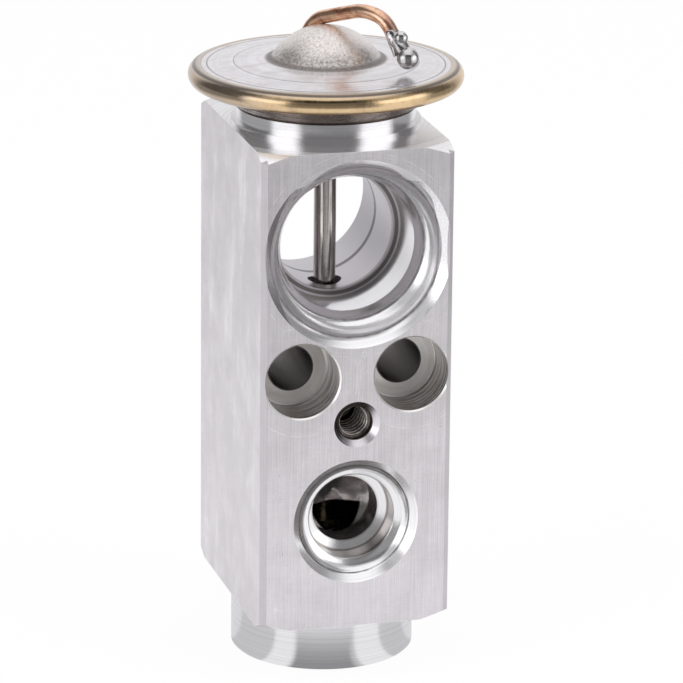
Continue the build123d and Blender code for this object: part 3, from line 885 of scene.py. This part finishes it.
def dressTube(t):
    f = Finish("annealedCopper")
    x, y, z = f.spot()
    clouds = f.patches(0.5, 4.0, 0.6, 0.5)
    grain = f.patches(5.0, 4.0, 0.7)
    fine = f.patches(14.0, 2.0, 0.7)
    tip = x.ramp(*t["tipFrom"])
    base = f.layers(
        f.mix(clouds.ramp(0.42, 0.70), t["copper"], t["copperDark"]),
        (grain.ramp(0.52, 0.70) * 0.65, t["copperPale"]),
        (grain.ramp(0.42, 0.30) * 0.5, t["copperDark"]),
        (tip * 0.55, t["copperPink"]),
    )
    f.set(Base_Color=base, Roughness=clouds.swing(0.15, 0.28) + tip * 0.1)
    f.bump(clouds * 0.5 + grain * 0.2 + fine * 0.1, 0.5, 0.00005)
    dress("charging_tube", f)


def solderFinish(t):
    f = Finish("solderTin")
    f.spot()
    lumps = f.patches(0.75, 3.0, 0.55)
    grain = f.patches(5.0, 4.0, 0.7)
    base = f.mix(lumps.ramp(0.45, 0.6), t["solder"], t["solderGrey"])
    base = f.layers(base, (grain.ramp(0.43, 0.32) * 0.6, t["solderDark"]))
    f.set(Base_Color=base, Roughness=grain.swing(0.06, 0.24))
    f.bump(lumps * 1.0 + grain * 0.12, 0.6, 0.0003)
    return f


def placeOnTube(t, along, up):
    # a point in the upright plane that the tube bends in
    turn = math.radians(t["planeAngle"])
    footX, footY = t["foot"]
    return Vector((footX + along * math.cos(turn), footY + along * math.sin(turn), t["footZ"] + up)) * mm


def buildCollar(t, finish):
    # lumpy tin over the pinched end, from the copper to the ball
    turn = math.radians(t["planeAngle"])
    side = Vector((math.sin(turn), -math.cos(turn), 0))
    path = [placeOnTube(t, along, up) for along, up, reach in t["collar"]]
    rings = []
    for index, centre in enumerate(path):
        ahead = path[min(index + 1, len(path) - 1)] - path[max(index - 1, 0)]
        across = ahead.cross(side).normalized()
        reach = t["collar"][index][2] * mm
        ring = []
        for step in range(t["collarSides"]):
            angle = step / t["collarSides"] * math.tau
            place = Vector((index * 0.7, math.cos(angle) * 1.3, math.sin(angle) * 1.3))
            lump = 1.0 + t["collarLumps"] * noise.noise(place)
            spoke = side * math.cos(angle) + across * math.sin(angle) * t["collarFlatness"]
            ring.append(centre + spoke * reach * lump)
        rings.append(ring)
    piece = wrapRings("solderCollar", rings, finish, smoothSides=True, smoothEnds=True)
    rounding = piece.modifiers.new("rounding", "SUBSURF")
    rounding.levels = t["collarRounding"]
    rounding.render_levels = t["collarRounding"]
    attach(piece, "valve")


dressTube(tube)
tin = solderFinish(tube)
dress("solder_seal", tin)
buildCollar(tube, tin)
print("tube dressed")


# the train, the adjuster and the seals; each turned piece has its finish's name, its colour, a
# darker one, its roughness and how close its turning lines are
inside = {
    "rod": (0.90, 0.85, 0.81),
    "rodDark": (0.40, 0.36, 0.33),
    "rodStain": (0.45, 0.38, 0.30),
    "glint": (0.9, 0.9, 0.9),
    "rubber": (0.022, 0.022, 0.024),
    "rubberBloom": (0.09, 0.09, 0.09),
    "rubberNodes": ("head_o_ring", "rod_seal", "adjuster_o_ring"),
    "turned": {
        "diaphragm": ("diaphragmSteel", (0.58, 0.57, 0.57), (0.40, 0.39, 0.38), 0.18, 3.0),
        "seal_retainer": ("retainerSteel", (0.58, 0.57, 0.57), (0.22, 0.21, 0.21), 0.22, 6.0),
        "valve_ball": ("ballSteel", (0.66, 0.65, 0.65), (0.5, 0.5, 0.5), 0.06, 2.0),
        "stopper_pad": ("turnedBrass", (0.72, 0.56, 0.30), (0.40, 0.28, 0.13), 0.22, 5.0),
        "ball_carrier": ("carrierBrass", (0.62, 0.54, 0.40), (0.34, 0.27, 0.18), 0.2, 6.0),
        "valve_spring": ("drawnSpringWire", (0.34, 0.34, 0.36), (0.14, 0.14, 0.15), 0.25, 9.0),
        "adjusting_screw": ("turnedScrew", (0.74, 0.73, 0.74), (0.42, 0.41, 0.42), 0.2, 6.0),
    },
}


def turnedFinish(i, name, colour, dark, rough, lineScale):
    f = Finish(name)
    x, y, z = f.spot()
    radius = (x * x + y * y).root()
    lines = f.streaks(radius * lineScale, 0.0, z * lineScale, 3.0, 0.7)
    clouds = f.patches(0.8, 4.0, 0.6)
    grain = f.patches(7.0, 3.0, 0.7)
    base = f.layers(
        f.mix(lines.swing(), dark, colour),
        (clouds.ramp(0.5, 0.7) * 0.4, dark),
        (grain.ramp(0.62, 0.76) * 0.25, i["glint"]),
    )
    f.set(Base_Color=base, Roughness=clouds.swing(rough, rough + 0.12))
    f.bump(lines * 0.5 + grain * 0.2, 0.5, 0.00004)
    return f


def dressRod(i):
    f = Finish("groundRod")
    x, y, z = f.spot()
    lengthwise = f.streaks(x * 4.0, y * 4.0, z * 0.10, 4.0, 0.6)
    rings = f.streaks(0.0, 0.0, z * 7.0, 2.0, 0.6)
    clouds = f.patches(0.6, 4.0, 0.6)
    base = f.layers(
        f.mix(lengthwise.ramp(0.35, 0.65), i["rodDark"], i["rod"]),
        (rings.ramp(0.55, 0.7) * 0.2, i["rodDark"]),
        (clouds.ramp(0.5, 0.7) * 0.3, i["rodStain"]),
    )
    f.set(Base_Color=base, Roughness=lengthwise.swing(0.08, 0.2))
    f.bump(lengthwise * 0.3 + rings * 0.3, 0.5, 0.00004)
    dress("push_rod", f)


def dressSeals(i):
    f = Finish("mouldedRubber", metallic=0.0)
    f.spot()
    grain = f.patches(8.0, 4.0, 0.7)
    bloom = f.patches(0.9, 4.0, 0.6)
    base = f.mix(bloom.ramp(0.45, 0.7) * 0.4, i["rubber"], i["rubberBloom"])
    f.set(Base_Color=base, Roughness=grain.swing(0.42, 0.62))
    f.bump(grain, 0.4, 0.00003)
    for node in i["rubberNodes"]:
        dress(node, f)


dressRod(inside)
dressSeals(inside)
turned = {node: turnedFinish(inside, *look) for node, look in inside["turned"].items()}
for node, finish in turned.items():
    dress(node, finish)
print("inner pieces dressed")


coil = {
    "wire": 0.45,
    "mean": 3.1,
    "turns": 4,
    "stepsPerTurn": 40,
    "wireSides": 12,
    "lowerShare": 0.7,  # of the spring's rise, taken up by the adjusting screw's travel
}


def windCoil(name, c, first, last, bottom, rise, finish):
    steps = round((last - first) * c["turns"] * c["stepsPerTurn"])
    slope = math.atan2(rise / c["turns"], math.tau * c["mean"])
    rings = []
    for step in range(steps + 1):
        share = first + (last - first) * step / steps
        angle = share * c["turns"] * math.tau
        outwards = Vector((math.cos(angle), math.sin(angle), 0))
        forward = Vector((
            -math.sin(angle) * math.cos(slope),
            math.cos(angle) * math.cos(slope),
            math.sin(slope),
        ))
        upwards = outwards.cross(forward)
        centre = outwards * c["mean"] + Vector((0, 0, bottom + rise * share))
        ring = []
        for side in range(c["wireSides"]):
            turn = side / c["wireSides"] * math.tau
            reach = outwards * math.cos(turn) + upwards * math.sin(turn)
            ring.append((centre + reach * c["wire"]) * mm)
        rings.append(ring)
    piece = wrapRings(name, rings, finish, smoothSides=True)
    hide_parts("valve_spring")
    return piece


def windSpring(c, finish):
    # two stretches of one coil: the lower one next to the screw, the upper one next to the carrier
    (_, _, low), (_, _, high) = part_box("valve_spring")
    bottom = low / mm + c["wire"]
    rise = (high - low) / mm - 2 * c["wire"]
    lower = windCoil("springLower", c, 0.0, c["lowerShare"], bottom, rise, finish)
    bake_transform(lower)
    upper = windCoil("springUpper", c, c["lowerShare"], 1.0, bottom, rise, finish)
    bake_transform(upper)


windSpring(coil, turned["valve_spring"])
print("spring wound")


# the thread of the stud's hole, in millimetres
thread = {
    "root": 2.52,
    "crest": 2.06,
    "pitch": 1.0,
    "frontY": -18.25,
    "start": 0.95,
    "turns": 8,
    "centreZ": 38.9,
    "stepsPerTurn": 48,
    "taperSteps": 16,
    "crestShare": 0.10,  # half of the flat crest, as a share of the pitch
    "rootShare": 0.44,
    "dark": (0.12, 0.10, 0.09),
    "bright": (0.95, 0.90, 0.84),
    "oily": (0.30, 0.27, 0.25),
    "grimy": (0.16, 0.14, 0.13),
    "metallic": 0.7,
}


def threadFinish(t):
    f = Finish("tappedAluminium", metallic=t["metallic"])
    x, y, z = f.spot()
    lines = f.streaks(x * 2.0, y * 9.0, z * 2.0, 3.0, 0.7)
    clouds = f.patches(1.2, 4.0, 0.6)
    # painted light and shade: the thread's crests are bright and its roots dark
    crest = ringDistance(x, z, 0.0, t["centreZ"]).ramp(t["crest"] + 0.02, t["crest"] + 0.12, 1.0, 0.0)
    base = f.layers(
        f.mix(crest, t["dark"], t["bright"]),
        (lines.ramp(0.5, 0.7) * 0.4, t["oily"]),
        (clouds.ramp(0.5, 0.65) * 0.4, t["grimy"]),
    )
    f.set(Base_Color=base, Roughness=lines.swing(0.18, 0.34))
    f.bump(lines, 0.4, 0.00003)
    return f


def cutThread(t):
    steps = t["turns"] * t["stepsPerTurn"]
    profile = ((-t["rootShare"], t["root"]), (-t["crestShare"], t["crest"]),
               (t["crestShare"], t["crest"]), (t["rootShare"], t["root"]))
    rings = []
    for step in range(steps + 1):
        angle = step / t["stepsPerTurn"] * math.tau
        taper = min(1.0, step / t["taperSteps"], (steps - step) / t["taperSteps"])
        depth = t["start"] + t["pitch"] * (0.5 + step / t["stepsPerTurn"])
        ring = []
        for share, radius in profile:
            reach = t["root"] + (radius - t["root"]) * taper
            ring.append((
                reach * math.cos(angle) * mm,
                (t["frontY"] + depth + share * t["pitch"]) * mm,
                (t["centreZ"] + reach * math.sin(angle)) * mm,
            ))
        rings.append(ring)
    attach(wrapRings("studThread", rings, threadFinish(t)), "valve")


cutThread(thread)
print("thread cut")

print("finished")
